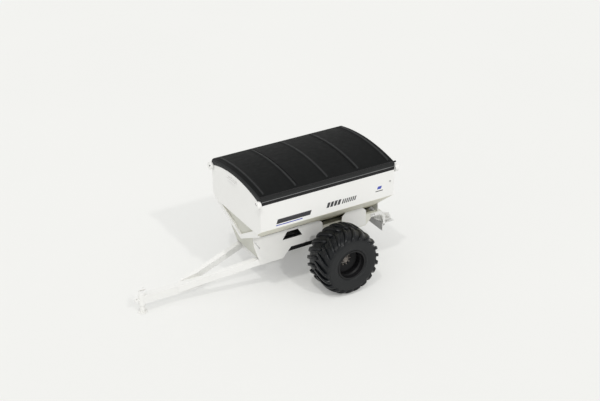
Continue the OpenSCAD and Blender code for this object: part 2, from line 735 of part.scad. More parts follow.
// Feed gate: a plate in two guides, lifted by a screw whose handwheel sits on a bracket
gate_gap = 14;
gate_x = rear_face - gate_gap;
gate_bite = 25;
gate_half = foot_y + gate_bite;
gate_lift = 7;
gate_bottom = belt_top + gate_lift;
gate_over = 50;
gate_plate_top = foot_z + outlet_h + gate_over;
bracket_room = 75;
bracket_z = gate_plate_top + gate_travel + bracket_room;
bracket_t = 20;
bracket_nose = 90;
bracket_edge = 40;
screw_out = 150;
gate_screw_x = rear_face - screw_out;
guide_w = 50;
guide_wall = 10;
module bracket_corner() translate([0, 0, bracket_z - cut]) linear_extrude(bracket_t + 2 * cut)
  polygon([[gate_screw_x - bracket_edge - cut, bracket_nose],
    [rear_face - bracket_edge, foot_y + guide_w + cut],
    [gate_screw_x - bracket_edge - cut, foot_y + guide_w + cut]]);
module gate_frame() color(white) {
  both_sides() difference() {
    box([gate_x - gate_t - guide_wall, rear_face], [foot_y, foot_y + guide_w], [foot_z, bracket_z]);
    box([gate_x - gate_t - slide_gap, gate_x + slide_gap], [foot_y - cut, gate_half + 2 * slide_gap],
      [foot_z - cut, bracket_z - bracket_t]);
  }
  difference() {
    box([gate_screw_x - bracket_edge, rear_face], around(0, foot_y + guide_w),
      [bracket_z, bracket_z + bracket_t]);
    rod_z(gate_screw_x, 0, gate_screw_r + slide_gap, [0, far]);
    both_sides() bracket_corner();
  }
}
gate_arm_half = 40;
gate_arm_end = 25;
gate_arm_t = 20;
module feed_gate() color(steel) {
  box([gate_x - gate_t, gate_x], [-gate_half, gate_half], [gate_bottom, gate_plate_top]);
  box([gate_screw_x - gate_arm_end, gate_x - gate_t / 2], around(0, gate_arm_half),
    [gate_plate_top - gate_arm_t, gate_plate_top]);
}
wheel_hub_h = 45;
wheel_hub_r = 35;
screw_over = 40;
module gate_screw() color(steel) rod_z(gate_screw_x, 0, gate_screw_r,
  [gate_plate_top, bracket_z + bracket_t + wheel_hub_h + screw_over]);
hand_rim_r = 12;
spoke_r = 8;
spoke_root = 20;
module gate_handwheel() color(black)
  translate([gate_screw_x, 0, bracket_z + bracket_t + seat_gap]) difference() {
    union() {
      cylinder(r = wheel_hub_r, h = wheel_hub_h);
      translate([0, 0, wheel_hub_h / 2]) rotate_extrude() translate([handwheel_r, 0])
        circle(r = hand_rim_r, $fn = 32);
      for (a = [0:120:240]) rotate([0, 0, a]) translate([spoke_root, 0, wheel_hub_h / 2]) rotate([0, 90, 0])
        cylinder(r = spoke_r, h = handwheel_r - spoke_root, $fn = 24);
    }
    translate([0, 0, -cut]) cylinder(r = gate_screw_r + run_gap, h = wheel_hub_h + 2 * cut);
  }

// Spinners: a deck on two hangers, with a motor under each disc and a divider above
deck_t = 10;
deck_front = disc_x + 160;
deck_rear = disc_x - 240;
hanger_w = 76;
hanger_edge = 10;
hanger_front = sill_rear + 350;
hanger_gap = 4;
hanger_x = deck_front - deck_t - hanger_gap;
hanger_drop = 60;
module hanger() plate_xz([[hanger_front, tail_bottom + hanger_edge], [hanger_front, sill_top - hanger_edge],
  [sill_rear, sill_top - hanger_edge], [hanger_x - hanger_w, tail_bottom - hanger_w],
  [hanger_x - hanger_w, deck_z - hanger_drop], [hanger_x, deck_z - hanger_drop],
  [hanger_x, tail_bottom - hanger_w], [sill_rear, tail_bottom + hanger_edge]], sill_out, plate_t);
module spinner_hangers() color(white) difference() {
  both_sides() hanger();
  drive_shaft_hole();
}
spin_shaft_r = 20;
spin_shaft_gap = 5;
spin_shaft_in = 65;
spin_hub_r = 45;
spin_hub_h = [30, 34];
spin_disc_t = 6;
fin_t = 8;
fin_edge = 8;
fin_root = 5;
module spinner_deck() color(grey) difference() {
  union() {
    box([deck_rear, deck_front], [-sill_out, sill_out], [deck_z, deck_z + deck_t]);
    box([deck_front - deck_t, deck_front], [-sill_out, sill_out], [deck_z - deck_flange, deck_z + deck_t]);
  }
  both_sides() rod_z(disc_x, disc_y, spin_shaft_r + spin_shaft_gap, [0, far]);
}
spin_motor_r = 70;
spin_motor_l = 150;
spin_motor_plate = 80;
spin_motor_plate_t = 20;
module spinner_motors() color(grey) both_sides() difference() {
  union() {
    rod_z(disc_x, disc_y, spin_motor_r, [deck_z - spin_motor_l, deck_z - spin_motor_plate_t / 2]);
    box(around(disc_x, spin_motor_plate), around(disc_y, spin_motor_plate),
      [deck_z - spin_motor_plate_t, deck_z]);
  }
  rod_z(disc_x, disc_y, spin_shaft_r + run_gap, [deck_z - spin_shaft_in - fin_root, deck_z + cut]);
}
module spinner() translate([disc_x, disc_y, 0]) {
  rod_z(0, 0, disc_r, [disc_z, disc_z + spin_disc_t]);
  rod_z(0, 0, spin_hub_r, [disc_z - spin_hub_h[0], disc_z + spin_disc_t + spin_hub_h[1]]);
  rod_z(0, 0, spin_shaft_r, [deck_z - spin_shaft_in, disc_z]);
  for (i = [0:fin_count - 1]) rotate([0, 0, i * 360 / fin_count])
    box([spin_hub_r - fin_root, disc_r - fin_edge], around(0, fin_t / 2),
      [disc_z + spin_disc_t / 2, disc_z + spin_disc_t + fin_h]);
}
module left_spinner() color(white) spinner();
module right_spinner() color(white) mirror([0, 1, 0]) spinner();
divider_rod_r = 20;
divider_x = hanger_x - hanger_w / 2;
divider_z = disc_z + 185;
divider_half = 150;
divider_rise = 130;
divider_low = 80;
divider_t = 12;
divider_l = [110, 30];
module material_divider() color(white) {
  rod_y(divider_x, divider_z, divider_rod_r, [-sill_out, sill_out]);
  translate([0, 0, divider_z - divider_low]) plate_yz(
    [[-divider_half, 0], [0, divider_rise], [divider_half, 0],
    [divider_half - divider_t, 0], [0, divider_rise - divider_t], [divider_t - divider_half, 0]],
    divider_x - divider_l[0], divider_l[0] + divider_l[1]);
}

// Tyres and wheels, drawn about Z with the outer side up
rim_r_seat = rim_d / 2;
rim_half = rim_w / 2;
wall_start = rim_r_seat + rim_flange_h + 6;
section_wide_r = (rim_r_seat + axle_z) / 2;
carcass_half_w = tyre_w / 2 - 10;
carcass_r = axle_z - lug_h;
shoulder_power = 2.8;
lug_power = 4;
bead_half = rim_half - seat_gap;
bead_r = rim_r_seat + seat_gap;
// Half of a tyre's outline as axial place and radius: up the bead, round the wall, over the shoulder
function tyre_wall(w, bead, n) = concat([[bead, bead_r]], [for (i = [0:n]) let (a = 90 * i / n)
  [bead + (w - bead) * sin(a), section_wide_r - (section_wide_r - wall_start) * cos(a)]]);
function tyre_shoulder(w, top, power, n) = [for (i = [0:n]) let (a = 90 * i / n)
  [w * pow(cos(a), 2 / power), section_wide_r + (top - section_wide_r) * pow(sin(a), 2 / power)]];
function over_crown(half) = concat([for (p = half) [p[1], p[0]]],
  [for (i = [len(half) - 2:-1:0]) [half[i][1], -half[i][0]]]);
function carcass_half(in) = concat(tyre_wall(carcass_half_w - in, bead_half - in, 4),
  without_first(tyre_shoulder(carcass_half_w - in, carcass_r - in, shoulder_power, 5)));
module carcass() rotate_extrude()
  polygon(concat(over_crown(carcass_half(0)), reversed(over_crown(carcass_half(carcass_t)))));
lug_root = 18;
module lug_band() rotate_extrude() polygon(concat(
  over_crown(tyre_shoulder(tyre_w / 2, axle_z, lug_power, 5)),
  reversed(over_crown(tyre_shoulder(carcass_half_w - lug_root, carcass_r - lug_root, shoulder_power, 5)))));
lug_over = 24;
lug_share = 0.33;
lug_low = section_wide_r + (axle_z - section_wide_r) * lug_share;
lug_curve = 1.5;
lug_steps = 3;
lug_inner = 0.66;
// A lug's middle line and width from its inner end at 0 to the shoulder at 1
function lug_lean(share) = lug_sweep * (pow(share, lug_curve) - 0.5);
function lug_wide(share) = lug_w * (lug_inner + (1 - lug_inner) * share);
function lug_along(share) = share * (tyre_w / 2 + cut + lug_over) - lug_over;
function lug_edge(side) = [for (i = [0:lug_steps]) let (share = i / lug_steps)
  [lug_lean(share) + side * lug_wide(share) / 2, lug_along(share)]];
module lug_bar() translate([lug_low, 0, 0]) rotate([90, 0, 90]) linear_extrude(axle_z - lug_low + 4 * cut)
  polygon(concat(lug_edge(-1), reversed(lug_edge(1))));
module lug_bars() for (i = [0:lug_count - 1]) {
  rotate([0, 0, i * 360 / lug_count]) lug_bar();
  rotate([0, 0, (i + 0.5) * 360 / lug_count]) mirror([0, 0, 1]) lug_bar();
}
module tyre() wheel_axis() {
  carcass();
  intersection() {
    lug_band();
    lug_bars();
  }
}
module left_tyre() color(rubber) tyre();
module right_tyre() color(rubber) mirror([0, 1, 0]) tyre();

rim_drop = 32;
rim_seat_w = 120;
rim_well_w = 165;
rim_seat_fall = 4;
disc_cone = 60;
disc_flat = 40;
function rim_line(in) = [[rim_r_seat - in, rim_half],
  [rim_r_seat - in - rim_seat_fall, rim_half - rim_seat_w],
  [rim_r_seat - in - rim_drop, rim_half - rim_well_w], [rim_r_seat - in - rim_drop, rim_well_w - rim_half],
  [rim_r_seat - in - rim_seat_fall, rim_seat_w - rim_half], [rim_r_seat - in, -rim_half]];
module rim() wheel_axis() rotate_extrude() {
  polygon(concat([[rim_r_seat + rim_flange_h, rim_half + rim_t], [rim_r_seat + rim_flange_h, rim_half]],
    rim_line(0), [[rim_r_seat + rim_flange_h, -rim_half], [rim_r_seat + rim_flange_h, -rim_half - rim_t],
      [rim_r_seat - rim_t, -rim_half - rim_t]],
    reversed(rim_line(rim_t)), [[rim_r_seat - rim_t, rim_half + rim_t]]));
  polygon([[spigot_r, disc_out - disc_t], [spigot_r, disc_out], [nut_pcd / 2 + disc_flat, disc_out],
    [rim_r_seat - rim_drop - rim_t / 2, disc_out + disc_cone],
    [rim_r_seat - rim_drop - rim_t / 2, disc_out + disc_cone - disc_t],
    [nut_pcd / 2 + disc_flat, disc_out - disc_t]]);
}
module left_rim() color(black) rim();
module right_rim() color(black) mirror([0, 1, 0]) rim();

hub_flange_edge = 34;
hub_flange_r = nut_pcd / 2 + hub_flange_edge;
hub_flange_t = 24;
hub_neck = 30;
hub_wall = 16;
hub_bore_gap = 6;
bearing_in_r = journal_in_r + run_gap + bearing_depth;
bearing_out_r = journal_out_r + run_gap + bearing_depth;
module hub() wheel_axis() difference() {
  rotate_extrude() polygon([[0, hub_in], [bearing_in_r + hub_wall, hub_in],
    [bearing_in_r + hub_wall, disc_out - disc_t - hub_flange_t - hub_neck],
    [hub_flange_r, disc_out - disc_t - hub_flange_t], [hub_flange_r, disc_out - disc_t],
    [spigot_r - seat_gap, disc_out - disc_t], [spigot_r - seat_gap, hub_out], [0, hub_out]]);
  translate([0, 0, hub_in - cut]) cylinder(r = bearing_in_r, h = bearing_in_w + bearing_l - hub_in + cut);
  translate([0, 0, bearing_out_w]) cylinder(r = bearing_out_r, h = hub_out - bearing_out_w + cut);
  translate([0, 0, hub_in]) cylinder(r = journal_in_r + hub_bore_gap, h = hub_l);
}
module left_hub() color(hub_brown) hub();
module right_hub() color(hub_brown) mirror([0, 1, 0]) hub();
module bearing(w, inner, outer) rotate_extrude()
  translate([inner, w]) square([outer - inner, bearing_l]);
module hub_bearings() wheel_axis() {
  bearing(bearing_in_w, journal_in_r + run_gap, bearing_in_r);
  bearing(bearing_out_w, journal_out_r + run_gap, bearing_out_r);
}
module left_hub_bearings() color(steel) hub_bearings();
module right_hub_bearings() color(steel) mirror([0, 1, 0]) hub_bearings();
cap_r = 122;
cap_l = 88;
cap_t = 8;
cap_flange = 24;
cap_flange_t = 12;
cap_steps = 6;
function cap_line(in) = [for (i = [0:cap_steps]) let (a = 90 * i / cap_steps)
  [(cap_r - cap_flange - in) * sqrt(cos(a)), hub_out + cap_flange_t + (cap_l - cap_flange_t - in) * sin(a)]];
module hub_cap() wheel_axis() rotate_extrude() polygon(concat(
  [[cap_r, hub_out], [cap_r, hub_out + cap_flange_t]], cap_line(0), reversed(cap_line(cap_t)),
  [[cap_r - cap_flange - cap_t, hub_out]]));
module left_hub_cap() color(hub_brown) hub_cap();
module right_hub_cap() color(hub_brown) mirror([0, 1, 0]) hub_cap();
nut_h = 30;
stud_over = 16;
module wheel_nuts() wheel_axis() for (i = [0:nut_count - 1]) rotate([0, 0, i * 360 / nut_count])
  translate([nut_pcd / 2, 0, disc_out]) {
    cylinder(d = nut_d, h = nut_h, $fn = 6);
    cylinder(d = nut_d / 2, h = nut_h + stud_over);
  }
module left_wheel_nuts() color(steel) wheel_nuts();
module right_wheel_nuts() color(steel) mirror([0, 1, 0]) wheel_nuts();

placed() left_sill();
placed() right_sill();
placed() cross_members();
placed() left_side_plates();
placed() right_side_plates();
placed() front_bulkhead();
placed() front_crossbeam();
placed() axle_beam();
placed() left_spindle();
placed() right_spindle();
placed() drawbar_left_beam();
placed() drawbar_right_beam();
placed() tongue();
placed() jack_sleeve();
placed() hitch_tang();
placed() left_side_panel();
placed() right_side_panel();
placed() front_panel();
placed() rear_panel();
placed() left_slope_sheet();
placed() right_slope_sheet();
placed() front_slope_sheet();
placed() front_struts();
placed() corner_ears();
placed() grab_handle();
placed() cover_rails();
placed() cover_bows();
placed() cover();
placed() cover_roll_tube();
placed() belt_bed();
placed() conveyor_belt();
placed() roller_bearings();
placed() belt_gearbox();
placed() drive_roller();
placed() idler_roller();
placed() gate_frame();
placed() feed_gate();
placed() gate_screw();
placed() gate_handwheel();
placed() spinner_hangers();
placed() spinner_deck();
placed() spinner_motors();
placed() material_divider();
placed() left_spinner();
placed() right_spinner();
placed() left_tyre();
placed() left_rim();
placed() left_hub();
placed() left_hub_bearings();
placed() left_hub_cap();
placed() left_wheel_nuts();
placed() right_tyre();
placed() right_rim();
placed() right_hub();
placed() right_hub_bearings();
placed() right_hub_cap();
placed() right_wheel_nuts();
placed() jack_leg();
placed() jack_screw();
placed() jack_crank();
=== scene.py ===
"""Looks of the grain cart: materials, cover cloth, lugged tyres, welds and bolts on the CAD frame."""

import json
import math
import random

import bmesh
import bpy
from mathutils import Matrix, Vector, geometry


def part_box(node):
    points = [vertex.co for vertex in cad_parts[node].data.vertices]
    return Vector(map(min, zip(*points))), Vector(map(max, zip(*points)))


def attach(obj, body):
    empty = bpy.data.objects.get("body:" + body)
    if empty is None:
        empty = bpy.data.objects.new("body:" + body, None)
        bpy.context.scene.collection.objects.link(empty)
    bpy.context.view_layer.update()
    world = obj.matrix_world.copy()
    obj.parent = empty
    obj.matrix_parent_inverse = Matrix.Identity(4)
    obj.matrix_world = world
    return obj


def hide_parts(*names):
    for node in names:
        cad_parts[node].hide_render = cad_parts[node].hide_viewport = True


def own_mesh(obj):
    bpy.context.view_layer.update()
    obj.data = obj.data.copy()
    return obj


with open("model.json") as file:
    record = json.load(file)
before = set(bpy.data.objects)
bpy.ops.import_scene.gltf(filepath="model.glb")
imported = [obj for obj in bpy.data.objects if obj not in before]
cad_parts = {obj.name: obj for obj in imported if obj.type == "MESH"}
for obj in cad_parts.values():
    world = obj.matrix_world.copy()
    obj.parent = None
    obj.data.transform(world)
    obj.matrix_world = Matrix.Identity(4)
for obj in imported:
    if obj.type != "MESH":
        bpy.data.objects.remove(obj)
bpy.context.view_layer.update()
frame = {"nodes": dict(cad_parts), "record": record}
nodes = frame["nodes"]
scene = bpy.context.scene
rng = random.Random(7)
SIDES = (("left", 1), ("right", -1))

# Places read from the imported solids, so that the looks follow the frame
tyre_lo, tyre_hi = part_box("left_tyre")
front_lo, front_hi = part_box("front_panel")
rear_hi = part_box("rear_panel")[1]
side_lo, side_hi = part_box("left_side_panel")
cover_lo, cover_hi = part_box("cover")
bows_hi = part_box("cover_bows")[1]
ears_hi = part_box("corner_ears")[1]
sill_lo, sill_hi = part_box("left_sill")
cross_lo, cross_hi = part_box("front_crossbeam")
sleeve_lo, sleeve_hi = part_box("jack_sleeve")
plate_lo, plate_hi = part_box("left_side_plates")
axle_lo, axle_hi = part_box("axle_beam")
HALF_W = side_hi.y
AXLE_X = (tyre_lo.x + tyre_hi.x) / 2
AXLE_Z = (tyre_lo.z + tyre_hi.z) / 2

# Cover: the arch over the bows, the bows' places, and the skirts' heights
COVER_RISE, BOW_INSET, CLOTH_LIFT = 0.165, 0.0253, 0.004
COVER_R = (HALF_W ** 2 + COVER_RISE ** 2) / (2 * COVER_RISE)
BOW_R = COVER_R - BOW_INSET
BOW_TOP = bows_hi.z
COVER_AXIS = BOW_TOP - BOW_R
BOW_COUNT, BOW_MARGIN = 5, 0.148
BOW_PITCH = (front_lo.x - rear_hi.x - 2 * BOW_MARGIN) / (BOW_COUNT - 1)
bow_x = [front_lo.x - BOW_MARGIN - i * BOW_PITCH for i in range(BOW_COUNT)]
SKIRT_Y, HEM_Z = HALF_W - 0.008, cover_lo.z + 0.004
CORNER = 0.055
EDGE_Y = SKIRT_Y - CORNER
SKIRT_TOP = COVER_AXIS + math.sqrt((BOW_R + CLOTH_LIFT) ** 2 - EDGE_Y ** 2)
RIDGE_END = SKIRT_Y - 0.10


# Materials
class Mat:
    """A node material: a principled shader with helpers that add texture nodes to it."""

    def __init__(self, name, rough, specular=0.5, metallic=0.0):
        self.m = bpy.data.materials.new(name)
        self.m.use_nodes = True
        self.nodes, self.links = self.m.node_tree.nodes, self.m.node_tree.links
        self.bsdf = next(n for n in self.nodes if n.type == "BSDF_PRINCIPLED")
        self.bsdf.inputs["Roughness"].default_value = rough
        self.bsdf.inputs["Metallic"].default_value = metallic
        self.bsdf.inputs["Specular IOR Level"].default_value = specular
        self.coord = self.nodes.new("ShaderNodeTexCoord").outputs["Object"]
        self.normal = None

    def add(self, kind, **inputs):
        n = self.nodes.new(kind)
        for k, v in inputs.items():
            self.put(n.inputs[k.replace("_", " ")], v)
        return n

    def put(self, socket, value):
        if isinstance(value, bpy.types.NodeSocket):
            self.links.new(value, socket)
        else:
            socket.default_value = value

    def scaled(self, scale):
        return self.add("ShaderNodeMapping", Vector=self.coord, Scale=scale).outputs["Vector"]

    def noise(self, scale, detail=3.0, rough=0.55, vector=None):
        return self.add("ShaderNodeTexNoise", Vector=vector or self.coord, Scale=scale,
                        Detail=detail, Roughness=rough).outputs["Fac"]

    def ramp(self, fac, low, high):
        """0 at the low value and 1 at the high one."""
        return self.add("ShaderNodeMapRange", Value=fac, From_Min=low, From_Max=high).outputs["Result"]

    def span(self, fac, low, high):
        """The low value at 0 and the high one at 1."""
        return self.add("ShaderNodeMapRange", Value=fac, To_Min=low, To_Max=high).outputs["Result"]

    def mix(self, fac, a, b):
        n = self.nodes.new("ShaderNodeMix")
        n.data_type = "RGBA"
        self.put(n.inputs[0], fac)
        for i, v in ((6, a), (7, b)):
            self.put(n.inputs[i], v if isinstance(v, bpy.types.NodeSocket) else (*v, 1.0))
        return n.outputs[2]

    def math(self, op, a, b=0.0):
        n = self.nodes.new("ShaderNodeMath")
        n.operation = op
        self.put(n.inputs[0], a)
        self.put(n.inputs[1], b)
        return n.outputs[0]

    def times(self, a, b):
        return self.math("MULTIPLY", a, b)

    def bump(self, height, strength, distance):
        n = self.add("ShaderNodeBump", Height=height, Strength=strength, Distance=distance)
        if self.normal:
            self.links.new(self.normal, n.inputs["Normal"])
        self.normal = n.outputs["Normal"]

    def edges(self, radius):
        """1 on edges and 0 on flats, from a rounded normal compared with the true one."""
        bevel = self.add("ShaderNodeBevel", Radius=radius)
        bevel.samples = 4
        true = self.nodes.new("ShaderNodeNewGeometry")
        dot = self.nodes.new("ShaderNodeVectorMath")
        dot.operation = "DOT_PRODUCT"
        self.links.new(bevel.outputs["Normal"], dot.inputs[0])
        self.links.new(true.outputs["Normal"], dot.inputs[1])
        return self.ramp(self.math("SUBTRACT", 1.0, dot.outputs["Value"]), low=0.02, high=0.25)

    def recess(self, distance):
        """1 in open places and 0 deep in corners and under overhangs."""
        n = self.add("ShaderNodeAmbientOcclusion", Distance=distance)
        n.samples = 8
        return n.outputs["AO"]

    def axes(self):
        n = self.add("ShaderNodeSeparateXYZ", Vector=self.coord)
        return n.outputs["X"], n.outputs["Y"], n.outputs["Z"]

    def normal_z(self):
        true = self.nodes.new("ShaderNodeNewGeometry").outputs["Normal"]
        return self.add("ShaderNodeSeparateXYZ", Vector=true).outputs["Z"]

    def above(self, value, limit):
        return self.math("GREATER_THAN", value, limit)

    def below(self, value, limit):
        return self.math("LESS_THAN", value, limit)

    def within(self, value, low, high):
        """1 where a value lies between two limits."""
        return self.times(self.above(value, low), self.below(value, high))

    def drift(self, share, base, shade):
        """A slow change between two shades of a paint."""
        slow = self.ramp(self.noise(scale=0.9, detail=4.0), low=0.35, high=0.75)
        return self.mix(self.times(slow, share), base, shade)

    def peel(self):
        """The fine orange peel of sprayed paint."""
        self.bump(self.noise(scale=240.0, detail=2.0), strength=0.05, distance=0.002)

    def done(self, color=None, rough=None):
        if color is not None:
            self.put(self.bsdf.inputs["Base Color"], color)
        if rough is not None:
            self.put(self.bsdf.inputs["Roughness"], rough)
        if self.normal:
            self.links.new(self.normal, self.bsdf.inputs["Normal"])
        return self.m


# The olive tint is the colour of painted shade in closed-in places
WHITE, WHITE_SHADE, SHADE_OLIVE = (0.83, 0.832, 0.822), (0.785, 0.788, 0.772), (0.40, 0.39, 0.30)
BLACK, BLACK_SHADE = (0.008, 0.008, 0.009), (0.013, 0.013, 0.014)
CHIP, DARK_CHIP = (0.46, 0.45, 0.42), (0.15, 0.14, 0.13)
# The hem colour is a painted highlight along the cover's hem
INK, BLUE, HEM_HIGHLIGHT = (0.035, 0.035, 0.04), (0.05, 0.08, 0.42), (0.30, 0.305, 0.31)


def shade_in_recesses(p, color, tint, distance, deep, most):
    """Painted shade: a darker tint where a surface is closed in, in corners and under overhangs."""
    open_share = p.ramp(p.recess(distance), low=deep, high=0.8)
    return p.mix(p.times(p.math("SUBTRACT", 1.0, open_share), most), color, tint)


def paint(name, base, shade, chip, rough, wear=0.35, specular=0.5, dust_and_shade=None, mark=None):
    """Sprayed paint with streaks and edge wear, and painted shade where it is closed in when asked; mark:
    where a second colour goes, and that colour.
    """
    p = Mat(name, rough, specular)
    color = p.drift(0.55, base, shade)
    run = p.noise(scale=3.0, detail=4.0, vector=p.scaled((2.0, 2.0, 0.25)))
    color = p.mix(p.times(p.ramp(run, low=0.5, high=0.8), 0.16), color, shade)
    worn_and_sheen = p.times(p.edges(radius=0.004), p.ramp(p.noise(scale=26.0, detail=5.0), low=0.5, high=0.62))
    color = p.mix(p.times(worn_and_sheen, wear), color, chip)
    # Painted shade, darker in corners and under overhangs
    if dust_and_shade:
        color = shade_in_recesses(p, color, **dust_and_shade)
    if mark:
        where, tint = mark
        color = p.mix(where(p), color, tint)
    p.peel()
    return p.done(color, p.span(p.noise(scale=5.0, detail=4.0), low=rough - 0.07, high=rough + 0.1))


PLATE_BACK, PLATE_EDGE = AXLE_X + 0.2, plate_lo.z + 0.004
WINDOW_BACK, WINDOW_TOP = AXLE_X + 0.45, sill_hi.z + 0.29


def shade_behind_plate(p):
    """The stretch of a sill that the front side plate covers, painted black there as shade where the plate's
    window shows it.
    """
    x, _, z = p.axes()
    return p.times(p.above(x, PLATE_BACK), p.above(z, PLATE_EDGE))


def shade_behind_window(p):
    """The outside of a slope sheet, where the front side plate's window shows it, painted black there as
    shade.
    """
    x, _, z = p.axes()
    low = p.times(p.above(x, WINDOW_BACK), p.below(z, WINDOW_TOP))
    return p.times(low, p.below(p.normal_z(), 0.0))


def level(p):
    """Faces that lie flat, from above and from below."""
    return p.above(p.math("ABSOLUTE", p.normal_z()), 0.7)


# Bands on the side panels: front edge behind the panel's front, length, low and high edge, colour
BAND_LEAN = 0.35
BANDS = [(0.47, 1.05, 2.395, 2.53, INK), (0.455, 0.82, 2.338, 2.366, BLUE)]
BANDS += [(2.03 + i * 0.115, 0.085, 2.45, 2.60, INK) for i in range(4)]
BANDS += [(2.52 + i * 0.066, 0.040, 2.45, 2.58, INK) for i in range(7)]
BANDS += [(3.67, 0.13, 2.575, 2.66, BLUE), (3.62, 0.24, 2.505, 2.53, INK)]


def white_panel():
    """White paint with plain slanted bands in the place of the lettering on the left and right sides."""
    p = Mat("white_panel", rough=0.4, specular=0.4)
    color = p.drift(0.5, WHITE, WHITE_SHADE)
    x, y, z = p.axes()
    slant = p.math("ADD", x, p.times(z, BAND_LEAN))
    outer = p.above(p.math("ABSOLUTE", y), HALF_W - 0.002)
    for front, length, low_z, high_z, tint in BANDS:
        start = side_hi.x - front + BAND_LEAN * low_z
        inside = p.times(p.within(slant, start - length, start), p.within(z, low_z, high_z))
        color = p.mix(p.times(inside, outer), color, tint)
    p.peel()
    p.bump(p.noise(scale=1.3, detail=2.0), strength=0.12, distance=0.01)
    return p.done(color, p.span(p.noise(scale=5.0, detail=4.0), low=0.34, high=0.5))


def cloth(name, base, light, worn_and_sheen):
    """Coated cover cloth: a fine weave, creases and chalky patches; painted highlights make it paler over the
    bows, on the skirts and along the hem, and the rolled ends are paler too.
    """
    p = Mat(name, rough=0.56, specular=0.13)
    weave = 0.0
    for thread in ((900.0, 0.0, 0.0), (0.0, 900.0, 300.0)):
        w = p.add("ShaderNodeTexWave", Vector=p.scaled(thread), Scale=0.32, Distortion=0.4)
        weave = p.math("ADD", weave, w.outputs["Fac"])
    x, y, z = p.axes()
    chalk = p.ramp(p.noise(scale=2.2, detail=6.0, rough=0.65), low=0.42, high=0.78)
    color = p.mix(p.times(chalk, 0.6), base, light)
    along = p.math("DIVIDE", p.math("SUBTRACT", x, bow_x[-1]), BOW_PITCH)
    turn = p.math("SUBTRACT", p.math("FRACT", p.math("ADD", along, 0.5)), 0.5)
    off_bow = p.times(p.math("ABSOLUTE", turn), BOW_PITCH)
    on_bow = p.times(p.ramp(off_bow, low=0.034, high=0.012), p.below(p.math("ABSOLUTE", y), RIDGE_END))
    end = p.math("MAXIMUM", p.above(x, cover_hi.x - 0.03), p.below(x, cover_lo.x + 0.03))
    # Painted highlight along the ridges over the bows; the rolled ends are made paler as well
    bow_highlight_and_pale_ends = p.times(p.math("MAXIMUM", on_bow, p.times(end, 0.7)),
                  p.span(p.noise(scale=9.0, detail=4.0), low=0.5, high=1.0))
    skirt = p.ramp(z, low=SKIRT_TOP - 0.012, high=SKIRT_TOP - 0.035)
    hem = p.ramp(z, low=HEM_Z + 0.020, high=HEM_Z + 0.013)
    # Painted highlights over the bows, a painted reflection on the skirts and a painted highlight along the
    # hem
    color = p.mix(bow_highlight_and_pale_ends, color, worn_and_sheen)
    color = p.mix(p.times(skirt, 0.75), color, worn_and_sheen)
    color = p.mix(p.times(hem, 0.9), color, HEM_HIGHLIGHT)
    p.bump(weave, strength=0.12, distance=0.001)
    creases = p.noise(scale=3.4, detail=3.0, vector=p.scaled((1.0, 2.4, 1.0)))
    p.bump(creases, strength=0.22, distance=0.02)
    return p.done(color, p.span(p.noise(scale=7.0, detail=5.0), low=0.48, high=0.7))


TREAD_POLISH = 0.20


def rubber(name, base, dust_and_shade, rough, specular=0.3, wall=None):
    """Rubber with a fine grain, dull patches and paler patches of dirt; a tyre's wall is duller than its
    tread and painted paler, as painted light on the wall.
    """
    p = Mat(name, rough, specular)
    patch = p.ramp(p.noise(scale=4.5, detail=6.0, rough=0.65), low=0.4, high=0.72)
    color = p.mix(p.times(patch, 0.5), base, dust_and_shade)
    dull = p.span(p.noise(scale=9.0, detail=5.0), low=rough - 0.12, high=rough + 0.12)
    if wall:
        x, _, z = p.axes()
        squares = [p.math("POWER", p.math("SUBTRACT", c, at), 2.0) for c, at in ((x, AXLE_X), (z, AXLE_Z))]
        on_wall = p.ramp(p.math("SQRT", p.math("ADD", *squares)), low=0.80, high=0.70)
        # Painted light: the wall is painted paler, standing in for the light it catches
        color = p.mix(p.times(on_wall, p.span(patch, low=0.75, high=1.0)), color, wall)
        dull = p.math("SUBTRACT", dull, p.times(p.math("SUBTRACT", 1.0, on_wall), TREAD_POLISH))
    p.bump(p.noise(scale=420.0, detail=3.0), strength=0.25, distance=0.0015)
    p.bump(p.noise(scale=38.0, detail=4.0), strength=0.12, distance=0.003)
    return p.done(color, dull)


def metal(name, base, dark, rough, along):
    """Plain steel with fine lines along one way and stained patches."""
    p = Mat(name, rough, metallic=1.0)
    lines = p.noise(scale=30.0, detail=4.0, vector=p.scaled(along))
    stain = p.ramp(p.noise(scale=6.0, detail=5.0), low=0.45, high=0.75)
    p.bump(lines, strength=0.08, distance=0.001)
    return p.done(p.mix(p.times(stain, 0.55), base, dark), p.span(lines, low=rough - 0.1, high=rough + 0.14))


def cast(name, base, dark):
    """Rough cast iron with a thin brown bloom."""
    p = Mat(name, rough=0.6, specular=0.4)
    bloom = p.ramp(p.noise(scale=14.0, detail=6.0, rough=0.7), low=0.4, high=0.7)
    p.bump(p.noise(scale=160.0, detail=4.0), strength=0.35, distance=0.002)
    return p.done(p.mix(bloom, base, dark), p.span(p.noise(scale=30.0), low=0.5, high=0.75))


